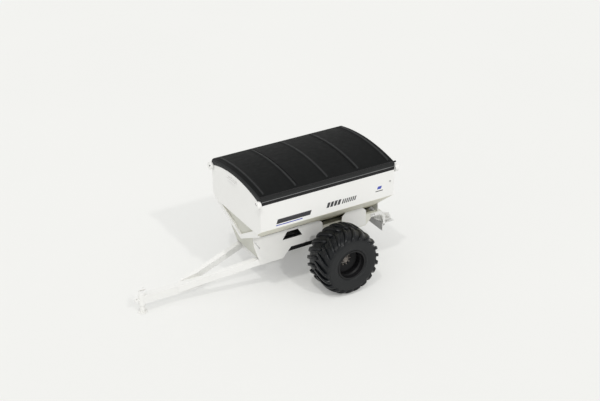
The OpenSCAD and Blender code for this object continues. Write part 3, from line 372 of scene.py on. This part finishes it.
look = {
    # White paint, with a little painted olive shade where it is closed in
    "white_paint": paint("white_paint", WHITE, WHITE_SHADE, CHIP, rough=0.42, specular=0.4,
                         dust_and_shade=dict(tint=SHADE_OLIVE, distance=0.4, deep=0.1, most=0.3)),
    # Cream paint, with painted olive shade where it is closed in and painted black shade where the front
    # plate's window shows it
    "cream_paint": paint("cream_paint", (0.75, 0.74, 0.64), (0.70, 0.69, 0.59), (0.40, 0.38, 0.33),
                         rough=0.45, specular=0.4,
                         dust_and_shade=dict(tint=(0.62, 0.60, 0.42), distance=0.9, deep=0.1, most=0.9),
                         mark=(shade_behind_window, BLACK)),
    "black_paint": paint("black_paint", BLACK, BLACK_SHADE, (0.10, 0.10, 0.10), rough=0.48, wear=0.25,
                         specular=0.28),
    "cover_fabric": cloth("cover_fabric", base=(0.0030, 0.0036, 0.0038), light=(0.0058, 0.0067, 0.0070),
                          worn_and_sheen=(0.036, 0.038, 0.039)),
    # The paler wall colour is painted light on the tyre's wall
    "tyre_rubber": rubber("tyre_rubber", base=(0.0024, 0.0034, 0.0050), dust_and_shade=(0.0072, 0.0083, 0.0098),
                          rough=0.53, specular=0.30, wall=(0.0146, 0.0157, 0.0168)),
    "belt_rubber": rubber("belt_rubber", base=(0.012, 0.012, 0.013), dust_and_shade=(0.03, 0.028, 0.025), rough=0.7),
    "grey_paint": paint("grey_paint", (0.66, 0.66, 0.655), (0.60, 0.60, 0.595), DARK_CHIP, rough=0.45),
    "hub_iron": cast("hub_iron", base=(0.27, 0.245, 0.225), dark=(0.15, 0.13, 0.115)),
    "bright_steel": metal("bright_steel", base=(0.52, 0.52, 0.51), dark=(0.30, 0.28, 0.26), rough=0.42,
                          along=(1.0, 14.0, 1.0)),
}
own_look = {
    "left_side_panel right_side_panel": white_panel(),
    "left_side_plates right_side_plates": paint("white_plate", WHITE, WHITE_SHADE, CHIP, rough=0.42,
                                                specular=0.4),
    # The bulkhead: white paint darkened all over as painted shade, with painted olive shade deeper in its
    # corners
    "front_bulkhead": paint("white_painted_shade", (0.60, 0.605, 0.55), (0.55, 0.555, 0.50), CHIP, rough=0.45,
                            specular=0.4, dust_and_shade=dict(tint=SHADE_OLIVE, distance=0.8, deep=0.2, most=0.95)),
    # The sills: a darker cream tone as painted shade, and black as painted shade on the stretch behind the
    # front plate, which its window shows
    "left_sill right_sill": paint("sill_paint", (0.74, 0.74, 0.68), (0.70, 0.70, 0.64), CHIP, rough=0.45,
                                  specular=0.4, mark=(shade_behind_plate, BLACK)),
    # The deck: grey on its upright faces as painted shade, white on its flat faces
    "spinner_deck": paint("deck_paint", (0.62, 0.62, 0.615), (0.57, 0.57, 0.565), DARK_CHIP, rough=0.45,
                          mark=(level, WHITE)),
    # White ears, with painted black shade in their slots and where they meet the panel
    "corner_ears": paint("white_ear", WHITE, WHITE_SHADE, CHIP, rough=0.42, specular=0.4,
                         dust_and_shade=dict(tint=(0.02, 0.02, 0.02), distance=0.06, deep=0.3, most=0.95)),
}


def wear_look(obj, material):
    obj.data.materials.clear()
    obj.data.materials.append(material)


for row in frame["record"]["subparts"]:
    wear_look(nodes[row["node"]], look[row["material_slot"]])
for names, material in own_look.items():
    for name in names.split():
        wear_look(nodes[name], material)


def round_edges(obj, width):
    b = obj.modifiers.new("rounded", "BEVEL")
    b.width, b.segments, b.limit_method, b.angle_limit = width, 2, "ANGLE", math.radians(40)
    b.harden_normals = False


# Rolled sheet and cut plate have small rounded edges
ROUNDED = {
    0.006: "left_sill right_sill front_crossbeam axle_beam drawbar_left_beam drawbar_right_beam tongue "
           "front_struts hitch_tang cover_rails corner_ears belt_gearbox roller_bearings",
    0.003: "left_side_plates right_side_plates front_bulkhead spinner_deck spinner_hangers gate_frame "
           "feed_gate jack_sleeve jack_leg left_rim right_rim left_hub right_hub left_hub_cap right_hub_cap "
           "spinner_motors left_spinner right_spinner left_wheel_nuts right_wheel_nuts jack_crank",
    0.0015: "front_panel rear_panel left_side_panel right_side_panel left_slope_sheet right_slope_sheet",
}
for width, names in ROUNDED.items():
    for name in names.split():
        round_edges(nodes[name], width)


def piece(name, verts, faces, slot, body, smooth=True):
    """A mesh in the row frame that rides on a body and takes its finish from a slot."""
    mesh = bpy.data.meshes.new(name)
    mesh.from_pydata([tuple(v) for v in verts], [], faces)
    mesh.validate()
    bm = bmesh.new()
    bm.from_mesh(mesh)
    bmesh.ops.remove_doubles(bm, verts=bm.verts, dist=1e-6)
    bmesh.ops.recalc_face_normals(bm, faces=bm.faces)
    bm.to_mesh(mesh)
    bm.free()
    for p in mesh.polygons:
        p.use_smooth = smooth
    obj = bpy.data.objects.new(name, mesh)
    scene.collection.objects.link(obj)
    wear_look(obj, look[slot])
    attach(obj, body)
    return obj


def grid_faces(rows, cols, start=0, wrap=False):
    """Quads between rows of cols points each; wrap joins the last row to the first."""
    out = []
    for i in range(rows if wrap else rows - 1):
        a, b = start + i * cols, start + (i + 1) % rows * cols
        out += [(a + j, a + j + 1, b + j + 1, b + j) for j in range(cols - 1)]
    return out


# Cover: one cloth over the bows, with a sag between them, side skirts and end curtains
CLOTH_T, END_ROLL = 0.003, 0.055
RIDGE_H, RIDGE_W, RIDGE_FADE = 0.025, 0.040, 0.03
SAG_H, SAG_W = 0.010, 0.30
TOP_SHARE, CORNER_SHARE = 0.86, 0.3
EAR_R, EAR_CLEAR, EAR_IN, EAR_REACH = 0.105, 0.006, 0.020, 0.012
EAR_TOP = ears_hi.z + EAR_CLEAR
PANEL_RISE, CURTAIN_LAP, CURTAIN_LENGTH, CURTAIN_ROWS = 0.232, 0.028, 0.13, 7
PANEL_R = (HALF_W ** 2 + PANEL_RISE ** 2) / (2 * PANEL_RISE)
COVER_COLUMNS, COVER_ROWS = 120, 72
cover_end = [cover_lo.x + 0.004, cover_hi.x - 0.004]


def hill(x, width):
    """1 on a bow's top, falling to 0 between the bows."""
    return math.exp(-(min(abs(x - b) for b in bow_x) / width) ** 2)


def end_drop(x):
    """How far the cloth rolls down over the end of the hopper."""
    d = END_ROLL - min(x - cover_end[0], cover_end[1] - x)
    return END_ROLL - math.sqrt(END_ROLL ** 2 - min(d, END_ROLL) ** 2) if d > 0 else 0.0


def cloth_point(x, t):
    """A point of the cloth at x, with t from the left hem (-1) over the crown (0) to the right hem (1)."""
    side, s = (1 if t < 0 else -1), abs(t)
    if s <= TOP_SHARE:
        y = EDGE_Y * s / TOP_SHARE
        fade = min(1.0, max(0.0, (RIDGE_END - y) / RIDGE_FADE))
        r = BOW_R + CLOTH_LIFT + RIDGE_H * hill(x, RIDGE_W) * fade
        r -= SAG_H * (1 - hill(x, SAG_W)) * math.cos(math.pi / 2 * y / EDGE_Y)
        return Vector((x, side * y, COVER_AXIS + math.sqrt(r * r - y * y) - end_drop(x)))
    top = cloth_point(x, -TOP_SHARE * side)
    k = (s - TOP_SHARE) / (1 - TOP_SHARE)
    if k < CORNER_SHARE:
        a = k / CORNER_SHARE * math.pi / 2
        return Vector((x, side * (EDGE_Y + CORNER * math.sin(a)), top.z - CORNER * (1 - math.cos(a))))
    over_ear = x > front_lo.x - EAR_REACH or x < rear_hi.x + EAR_REACH
    low = max(HEM_Z, EAR_TOP) if over_ear else HEM_Z
    z = top.z - CORNER
    q = (k - CORNER_SHARE) / (1 - CORNER_SHARE)
    wave = 0.0025 * math.sin(x * 5.3 + side) * math.sin(math.pi * q)
    return Vector((x, side * (SKIRT_Y + wave), z + (low - z) * q))


def cloth_columns():
    """Places along the cart: even steps, with finer ones at the bows, the rolled ends and the ears."""
    steps = [0, 0.01, 0.02, 0.032, 0.045, 0.06]
    xs = [cover_end[0] + (cover_end[1] - cover_end[0]) * i / COVER_COLUMNS for i in range(COVER_COLUMNS + 1)]
    xs += [b + sign * d for b in bow_x for d in steps for sign in (1, -1)]
    for k in range(1, 9):
        d = END_ROLL * (1 - math.sin(math.radians(10 * k)))
        xs += [cover_end[0] + d, cover_end[1] - d]
    for d in (EAR_REACH - 0.0001, EAR_REACH + 0.0001):
        xs += [front_lo.x - d, rear_hi.x + d]
    return sorted({round(x, 5) for x in xs})


def curtain_low(y):
    """Lower edge of an end curtain: 28 mm below the panel's arch, and clear of the round ears."""
    z = front_hi.z - PANEL_R + math.sqrt((PANEL_R - CURTAIN_LAP) ** 2 - y * y)
    d, reach = abs(abs(y) - (HALF_W - EAR_IN)), EAR_R + EAR_CLEAR
    return max(z, ears_hi.z - EAR_R + math.sqrt(reach ** 2 - d * d)) if d < reach else z


xs = cloth_columns()
top_ts = [-TOP_SHARE + 2 * TOP_SHARE * i / COVER_ROWS for i in range(COVER_ROWS + 1)]
SKIRT_STEPS = (0.06, 0.12, 0.18, 0.24, 0.3, 0.4, 0.55, 0.7, 0.85, 1.0)
skirt_ts = [TOP_SHARE + (1 - TOP_SHARE) * k for k in SKIRT_STEPS]
ts = [-t for t in reversed(skirt_ts)] + top_ts + skirt_ts
verts = [cloth_point(x, t) for x in xs for t in ts]
faces = grid_faces(len(xs), len(ts))
for x in (xs[0], xs[-1]):
    start = len(verts)
    edge = [cloth_point(x, t) for t in ts]
    for i in range(CURTAIN_ROWS):
        for p in edge:
            low = min(p.z, max(curtain_low(p.y), HEM_Z))
            verts.append(Vector((x, p.y, p.z + (low - p.z) * i / (CURTAIN_ROWS - 1))))
    faces += grid_faces(CURTAIN_ROWS, len(edge), start)
cover = piece("cover_cloth", verts, faces, "cover_fabric", "chassis")
solid = cover.modifiers.new("cloth", "SOLIDIFY")
solid.thickness, solid.offset = CLOTH_T, 0.0
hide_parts("cover")
flat_w = sum((cloth_point(0, b) - cloth_point(0, a)).length for a, b in zip(ts, ts[1:]))


# Tyres: a round carcass with ribbed walls and curved lugs whose knobs wrap over the shoulder
RIM_R, BEAD_HALF, BEAD_H = 0.4065, 0.4567, 0.036
LUG_H, LUG_COUNT, LUG_SWEEP, LUG_W, LUG_LOW = 0.052, 22, 0.240, 0.112, math.radians(15)
LUG_PAST_CROWN, LUG_STATIONS = 0.024, 18
TYRE_STEPS, WALL_STEPS, SHOULDER_STEPS = 176, 40, 24
TYRE_R, TYRE_W = (tyre_hi.z - tyre_lo.z) / 2, (tyre_hi.y - tyre_lo.y) / 2
WIDE_R = (RIM_R + TYRE_R) / 2
CARCASS_R, CARCASS_W = TYRE_R - LUG_H, TYRE_W - 0.010
CARCASS_POWER, TIP_POWER = 2.8, 4.0
# Raised rings on the wall, a rim guard and two thin ones: height, radius, width
RIBS, RIB_END = ((0.010, 0.475, 0.014), (0.003, 0.56, 0.005), (0.004, 0.705, 0.006)), 0.73
# A lug's section: place across in half widths, and share of its height
LUG_SECTION = ((-1.22, -0.14), (-1.06, 0.25), (-0.97, 0.82), (-0.84, 0.98), (0.0, 1.0),
               (0.84, 0.98), (0.97, 0.82), (1.06, 0.25), (1.22, -0.14))
LUG_END_HEIGHTS = (0.72, 0.93)


def shoulder(w, top, power, a):
    """Axial place and radius of a rounded shoulder, from the wall (a = 0) to the crown (a = 90 degrees)."""
    c, s = math.cos(a), math.sin(a)
    return w * max(c, 0.0) ** (2 / power), WIDE_R + (top - WIDE_R) * s ** (2 / power)


def wall_rib(r):
    return sum(h * math.exp(-((r - at) / width) ** 2) for h, at, width in RIBS) if r < RIB_END else 0


def carcass_half():
    """The carcass's line from the bead over the wall to the crown: axial place and radius."""
    low = RIM_R + BEAD_H
    pts = [(BEAD_HALF, RIM_R + 0.0004), (BEAD_HALF, low)]
    for i in range(1, WALL_STEPS + 1):
        a = math.pi / 2 * i / WALL_STEPS
        r = WIDE_R - (WIDE_R - low) * math.cos(a)
        pts.append((min(TYRE_W, BEAD_HALF + (CARCASS_W - BEAD_HALF) * math.sin(a) + wall_rib(r)), r))
    for i in range(1, SHOULDER_STEPS + 1):
        w, r = shoulder(CARCASS_W, CARCASS_R, CARCASS_POWER, math.pi / 2 * i / SHOULDER_STEPS)
        pts.append((min(TYRE_W, w + wall_rib(r)), r))
    return pts


def around(side, phi, w, r):
    return Vector((AXLE_X + r * math.cos(phi), side * w, AXLE_Z - r * math.sin(phi)))


def lug_strip():
    """Stations of a lug from the crown to its end on the wall: share of its run, carcass point, tip point."""
    out, run, last = [], 0.0, None
    for i in range(LUG_STATIONS + 1):
        a = math.pi / 2 - (math.pi / 2 - LUG_LOW) * i / LUG_STATIONS
        base = shoulder(CARCASS_W, CARCASS_R, CARCASS_POWER, a)
        tip = shoulder(TYRE_W, TYRE_R, TIP_POWER, a)
        if i == 0:
            base, tip = (-LUG_PAST_CROWN, base[1]), (-LUG_PAST_CROWN, tip[1])
        if last:
            run += math.dist(base, last)
        last = base
        out.append((run, base, tip))
    return [(s / run, base, tip) for s, base, tip in out]


def lug(strip, side, half_side, phi):
    """Points of one lug, a row of its section at each station."""
    verts = []
    for j, (share, base, tip) in enumerate(strip):
        lean = LUG_SWEEP * (share ** 1.4 - 0.5)
        wide = LUG_W * (0.66 + 0.34 * share) / 2
        from_end = min(j, len(strip) - 1 - j)
        end = LUG_END_HEIGHTS[from_end] if from_end < len(LUG_END_HEIGHTS) else 1.0
        for across, up in LUG_SECTION:
            h = up * (end if up > 0 else 1.0)
            w = base[0] + (tip[0] - base[0]) * h
            r = base[1] + (tip[1] - base[1]) * h
            turn = (lean + across * wide) / max(r, 0.6)
            verts.append(around(side, phi + turn, half_side * w, r))
    return verts


def tyre(name, body, centre_y, side):
    half = carcass_half()
    line = half + [(-w, r) for w, r in reversed(half[:-1])]
    verts = [around(side, 2 * math.pi * i / TYRE_STEPS, w, r) for i in range(TYRE_STEPS) for w, r in line]
    faces = grid_faces(TYRE_STEPS, len(line), wrap=True)
    strip = lug_strip()
    rows, cols = len(strip), len(LUG_SECTION)
    for half_side, offset in ((1, 0.0), (-1, 0.5)):
        for k in range(LUG_COUNT):
            start = len(verts)
            verts += lug(strip, side, half_side, 2 * math.pi * (k + offset) / LUG_COUNT)
            faces += grid_faces(rows, cols, start)
            faces.append(tuple(start + i for i in range(cols)))
            faces.append(tuple(start + (rows - 1) * cols + i for i in reversed(range(cols))))
    for v in verts:
        v.y += centre_y
    obj = piece(name, verts, faces, "tyre_rubber", body)
    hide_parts(name.replace("_visual", ""))


for side, s in SIDES:
    tyre(side + "_tyre_visual", side + "_wheel", s * (tyre_lo.y + tyre_hi.y) / 2, s)


# Welds: rippled beads along the seams of the drawbar, the sleeve and the side plates
RIPPLE_STEP, BEAD_COLS = 0.012, 7


def bead(points, r, closed=False):
    """Vertices and faces of a rippled round bead along a line of points."""
    corners = [Vector(p) for p in points]
    pts = []
    for a, b in zip(corners, corners[1:] + corners[:1] if closed else corners[1:]):
        n = max(1, int((b - a).length / RIPPLE_STEP))
        pts += [a.lerp(b, k / n) for k in range(n)]
    if not closed:
        pts.append(corners[-1])
    verts = []
    for i, p in enumerate(pts):
        before = pts[i - 1] if i or closed else p
        after = pts[(i + 1) % len(pts)] if i + 1 < len(pts) or closed else p
        along = (after - before).normalized()
        across = along.orthogonal().normalized()
        up = along.cross(across)
        swell = r * (0.86 + 0.16 * (i % 2) + rng.uniform(-0.05, 0.05))
        for k in range(BEAD_COLS):
            t = 2 * math.pi * k / (BEAD_COLS - 1)
            verts.append(p + (across * math.cos(t) + up * math.sin(t)) * swell)
    return verts, grid_faces(len(pts), BEAD_COLS, 0, wrap=closed)


def welds(name, lines, r):
    verts, faces = [], []
    for points, closed in lines:
        v, f = bead(points, r, closed)
        faces += [tuple(len(verts) + i for i in q) for q in f]
        verts += v
    piece(name, verts, faces, "white_paint", "chassis")


DRAWBAR_BEAD, PLATE_BEAD = 0.006, 0.004
beam_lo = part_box("drawbar_left_beam")[0]
tongue_lo, tongue_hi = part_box("tongue")
face = cross_hi.x + 0.002
rear_ring = [v.co for v in nodes["drawbar_left_beam"].data.vertices if v.co.x < beam_lo.x + 0.002]
ry = [min(p.y for p in rear_ring), max(p.y for p in rear_ring)]
rz = [min(p.z for p in rear_ring), max(p.z for p in rear_ring)]
ring = [(ry[0], rz[0]), (ry[1], rz[0]), (ry[1], rz[1]), (ry[0], rz[1])]
seams = [([(face, s * y, z) for y, z in ring], True) for _, s in SIDES]
sleeve_x = (sleeve_lo.x + sleeve_hi.x) / 2
sleeve_r = (sleeve_hi.y - sleeve_lo.y) / 2 * 1.01
turns = [math.radians(d) for d in range(-78, 79, 12)]
for z in (tongue_hi.z, tongue_lo.z):
    seams.append(([(sleeve_x - sleeve_r * math.cos(a), sleeve_r * math.sin(a), z) for a in turns], False))
welds("drawbar_welds", seams, DRAWBAR_BEAD)
for side, s in SIDES:
    x, y = cross_lo.x + 0.02, s * plate_hi.y
    seam = [(x, y, cross_lo.z + 0.03), (x, y, cross_hi.z - 0.03)]
    welds(side + "_plate_welds", [(seam, False)], PLATE_BEAD)


# Plates that close the drawbar beams' cut ends, and black rails under the sills ahead of the axle
CAP_T, CAP_INSET = 0.006, 0.0015
RAIL_H, RAIL_EDGE, RAIL_FRONT, RAIL_ROUND = 0.095, 0.008, 1.13, 0.006


def prism(name, outline, at, slot):
    """A closed prism: an outline of (u, v), and a function that places u, v at an end, 0 or 1."""
    n = len(outline)
    verts = [at(u, v, end) for end in (0, 1) for u, v in outline]
    faces = [tuple(range(n)), tuple(range(2 * n - 1, n - 1, -1))]
    faces += [(i, (i + 1) % n, n + (i + 1) % n, n + i) for i in range(n)]
    return piece(name, verts, faces, slot, "chassis", smooth=False)


for side, s in SIDES:
    cut = [v.co for v in nodes["drawbar_" + side + "_beam"].data.vertices]
    cut_y = min(s * p.y for p in cut)
    edge = [Vector((p.x, p.z)) for p in cut if s * p.y < cut_y + 0.001]
    outline = [edge[i] for i in geometry.convex_hull_2d(edge)]
    cap_y = [s * (cut_y + CAP_INSET), s * (cut_y + CAP_INSET + CAP_T)]
    prism(side + "_beam_cap", outline, lambda x, z, end: (x, cap_y[end], z), "white_paint")

rail_x = [AXLE_X + AXLE_Z - axle_lo.z, AXLE_X + RAIL_FRONT]
rail_y = [sill_lo.y + RAIL_EDGE, sill_hi.y - RAIL_EDGE]
rail_z = [axle_hi.z - RAIL_H, axle_hi.z]
outline = [(rail_y[0], rail_z[0]), (rail_y[1], rail_z[0]), (rail_y[1], rail_z[1]), (rail_y[0], rail_z[1])]
for side, s in SIDES:
    rail = prism(side + "_rail", outline, lambda y, z, end: (rail_x[end], s * y, z), "black_paint")
    round_edges(rail, RAIL_ROUND)


# Bolts: hexagon heads with washers where pieces are bolted together
def bolts(name, places, r, body="chassis"):
    """places: (point on the face, outward direction)."""
    verts, faces = [], []
    for point, out in places:
        out = Vector(out)
        a = out.orthogonal().normalized()
        b = out.cross(a)
        turn = rng.uniform(0, 1.0)
        washer, head = (r * 1.75, -0.001, r * 0.25, 20), (r, 0.0, r * 1.05, 6)
        for radius, bottom, top, n in (washer, head):
            start = len(verts)
            for h in (bottom, top):
                for k in range(n):
                    t = 2 * math.pi * k / n + turn
                    verts.append(Vector(point) + out * h + (a * math.cos(t) + b * math.sin(t)) * radius)
            low, high = range(start, start + n), range(start + n, start + 2 * n)
            faces += [(low[k], low[(k + 1) % n], high[(k + 1) % n], high[k]) for k in range(n)]
            faces += [tuple(high), tuple(reversed(low))]
    piece(name, verts, faces, "bright_steel", body, smooth=False)


HANGER_BOLT, PANEL_BOLT, GEARBOX_BOLT, CAP_BOLT = 0.012, 0.016, 0.011, 0.007
GEARBOX_SPREAD, GEARBOX_DEPTH, CAP_BOLT_R, CAP_BOLT_COUNT = 0.088, 0.140, 0.109, 6
hang_lo, hang_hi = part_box("spinner_hangers")
gear_lo, gear_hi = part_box("belt_gearbox")
deck_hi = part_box("spinner_deck")[1]
cap_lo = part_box("left_hub_cap")[0]
tail_z = sill_hi.z - 0.06
places = [((hang_hi.x - d, s * hang_hi.y, tail_z), (0, s, 0)) for _, s in SIDES for d in (0.04, 0.11)]
places += [((hang_lo.x + 0.038, s * hang_hi.y, deck_hi.z - d), (0, s, 0))
           for _, s in SIDES for d in (0.03, 0.055)]
bolts("hanger_bolts", places, HANGER_BOLT)
places = [((side_lo.x + 0.128, s * HALF_W, side_hi.z - 0.321), (0, s, 0)) for _, s in SIDES]
bolts("panel_bolts", places, PANEL_BOLT)
gear_x, gear_z = (gear_lo.x + gear_hi.x) / 2, (gear_lo.z + gear_hi.z) / 2
places = [((gear_x + dx, gear_hi.y - GEARBOX_DEPTH, gear_z + dz), (0, -1, 0))
          for dx in (GEARBOX_SPREAD, -GEARBOX_SPREAD) for dz in (GEARBOX_SPREAD, -GEARBOX_SPREAD)]
bolts("gearbox_bolts", places, GEARBOX_BOLT)
for side, s in SIDES:
    turns = [2 * math.pi * k / CAP_BOLT_COUNT for k in range(CAP_BOLT_COUNT)]
    places = [((AXLE_X + CAP_BOLT_R * math.cos(a), s * (cap_lo.y + 0.012), AXLE_Z + CAP_BOLT_R * math.sin(a)),
               (0, s, 0)) for a in turns]
    bolts(side + "_cap_bolts", places, CAP_BOLT, side + "_wheel")


# Floor, light and camera
FLOOR_HALF, FLOOR_Z = 120.0, -0.001
GLOW_OPEN, GLOW_UNDER, SHADOW_REACH = 0.5, 0.18, 2.5


def plane(name, half, z):
    mesh = bpy.data.meshes.new(name)
    corners = [(-half, -half, z), (half, -half, z), (half, half, z), (-half, half, z)]
    mesh.from_pydata(corners, [], [(0, 1, 2, 3)])
    obj = bpy.data.objects.new(name, mesh)
    scene.collection.objects.link(obj)
    return obj


def white_ground():
    """A pale table that looks evenly bright and keeps a part of the shadow, more of it underneath."""
    g = Mat("ground", rough=0.9, specular=0.1)
    g.done(g.mix(g.ramp(g.noise(scale=0.08), low=0.3, high=0.7), (0.83, 0.833, 0.82), (0.85, 0.853, 0.84)))
    glow = g.add("ShaderNodeEmission", Color=(0.868, 0.872, 0.852, 1.0), Strength=1.0)
    path = g.nodes.new("ShaderNodeLightPath").outputs
    seen = g.math("MAXIMUM", path["Is Glossy Ray"], path["Is Transmission Ray"])
    seen = g.math("MAXIMUM", path["Is Camera Ray"], seen)
    share = g.span(g.ramp(g.recess(SHADOW_REACH), low=0.26, high=0.46), low=GLOW_UNDER, high=GLOW_OPEN)
    both = g.nodes.new("ShaderNodeMixShader")
    g.links.new(g.times(seen, share), both.inputs[0])
    g.links.new(g.bsdf.outputs[0], both.inputs[1])
    g.links.new(glow.outputs[0], both.inputs[2])
    out = next(n for n in g.nodes if n.type == "OUTPUT_MATERIAL")
    g.links.new(both.outputs[0], out.inputs["Surface"])
    return g.m


wear_look(plane("floor", FLOOR_HALF, FLOOR_Z), white_ground())

world = bpy.data.worlds.new("tent")
scene.world = world
world.use_nodes = True
sky = world.node_tree.nodes["Background"]
sky.inputs["Color"].default_value = (1.0, 0.995, 0.98, 1.0)
sky.inputs["Strength"].default_value = 0.70


def sun(name, travel, strength, angle, color):
    light = bpy.data.lights.new(name, "SUN")
    light.energy, light.angle, light.color = strength, math.radians(angle), color
    obj = bpy.data.objects.new(name, light)
    obj.rotation_euler = Vector(travel).to_track_quat("-Z", "Y").to_euler()
    scene.collection.objects.link(obj)


sun("key", travel=(0.12, -1.105, -1.0), strength=0.72, angle=2.5, color=(1.0, 0.985, 0.96))
sun("second", travel=(-0.37, -0.36, -1.0), strength=0.70, angle=2.5, color=(1.0, 0.99, 0.97))
sun("front_fill", travel=(-1.0, -0.2, -0.55), strength=0.35, angle=70, color=(1.0, 0.99, 0.97))

# The camera, solved from the photo: its axes, and its place, measured from the axle along x
CAMERA_RIGHT, CAMERA_UP = (-0.8609, 0.5087, -0.0026), (-0.2424, -0.4057, 0.8813)
CAMERA_BACK, CAMERA_PLACE = (0.44731, 0.75935, 0.47256), (AXLE_X + 16.6784, 27.6713, 19.2764)
cam = bpy.data.cameras.new("camera")
cam.lens, cam.sensor_width, cam.sensor_fit = 78.0, 36.0, "HORIZONTAL"
cam.clip_end = 400
camera = bpy.data.objects.new("camera", cam)
turned = Matrix((CAMERA_RIGHT, CAMERA_UP, CAMERA_BACK)).transposed().to_4x4()
turned.translation = CAMERA_PLACE
camera.matrix_world = turned
scene.collection.objects.link(camera)
scene.camera = camera
scene.view_settings.view_transform = "Standard"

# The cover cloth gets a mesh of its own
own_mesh(cover)
